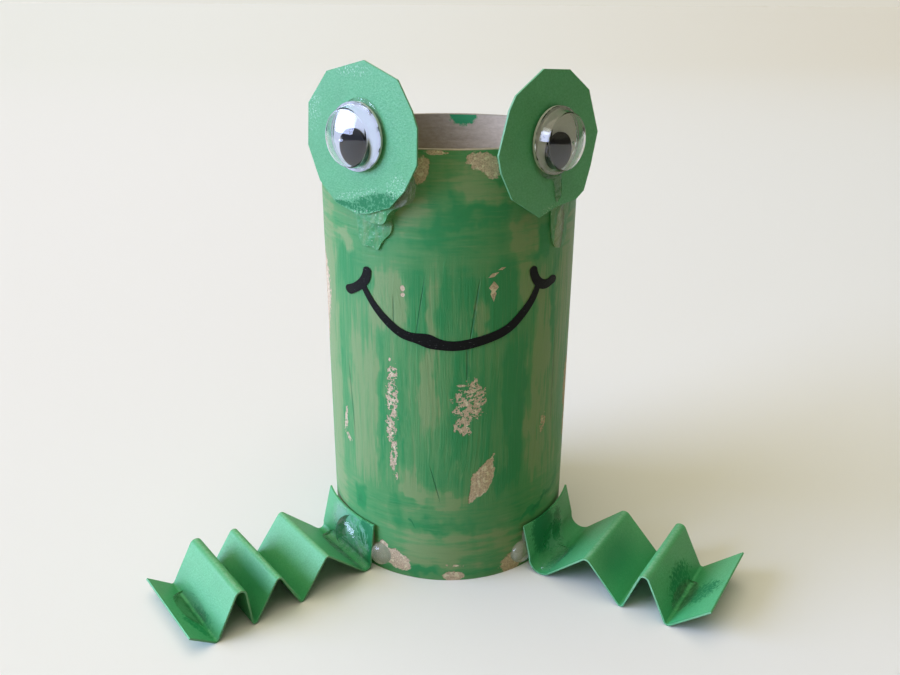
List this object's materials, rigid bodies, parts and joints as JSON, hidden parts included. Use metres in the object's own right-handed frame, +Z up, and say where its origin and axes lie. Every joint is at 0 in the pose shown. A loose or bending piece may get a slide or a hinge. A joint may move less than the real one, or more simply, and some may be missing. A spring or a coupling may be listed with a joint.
{
  "type": "paper roll frog",
  "caption": "Handmade frog of a painted cardboard roll, with card discs, wobble eyes, a marker smile and folded card legs.",
  "frame": {"origin": "on the axis of the roll, in the plane that the roll stands on", "axes": "+Z up along the axis of the roll; -Y is the front, where the smile is; +X is to the right as seen from the front"},
  "size_m": [0.1022, 0.0615, 0.0864],
  "materials": {
    "roll_board": "matte",
    "card_green": "matte",
    "plastic_white": "gloss",
    "plastic_black": "gloss",
    "plastic_clear": "gloss",
    "glue_clear": "gloss",
    "marker_ink": "satin"
  },
  "bodies": {
    "root": {"tube": "roll_board", "smile": "marker_ink", "eye_card_left": "card_green", "eye_card_right": "card_green", "eye_back_left": "plastic_white", "eye_back_right": "plastic_white", "eye_dome_left": "plastic_clear", "eye_dome_right": "plastic_clear", "eye_pupil_left": "plastic_black", "eye_pupil_right": "plastic_black", "glue_eye_left": "glue_clear", "glue_eye_right": "glue_clear", "glue_card_left": "glue_clear", "glue_card_right": "glue_clear", "leg_left": "card_green", "leg_right": "card_green", "glue_leg_left": "glue_clear", "glue_leg_right": "glue_clear", "glue_blob_left": "glue_clear", "glue_blob_right": "glue_clear", "glue_foot_left": "glue_clear", "glue_foot_right": "glue_clear"}
  },
  "joints": []
}
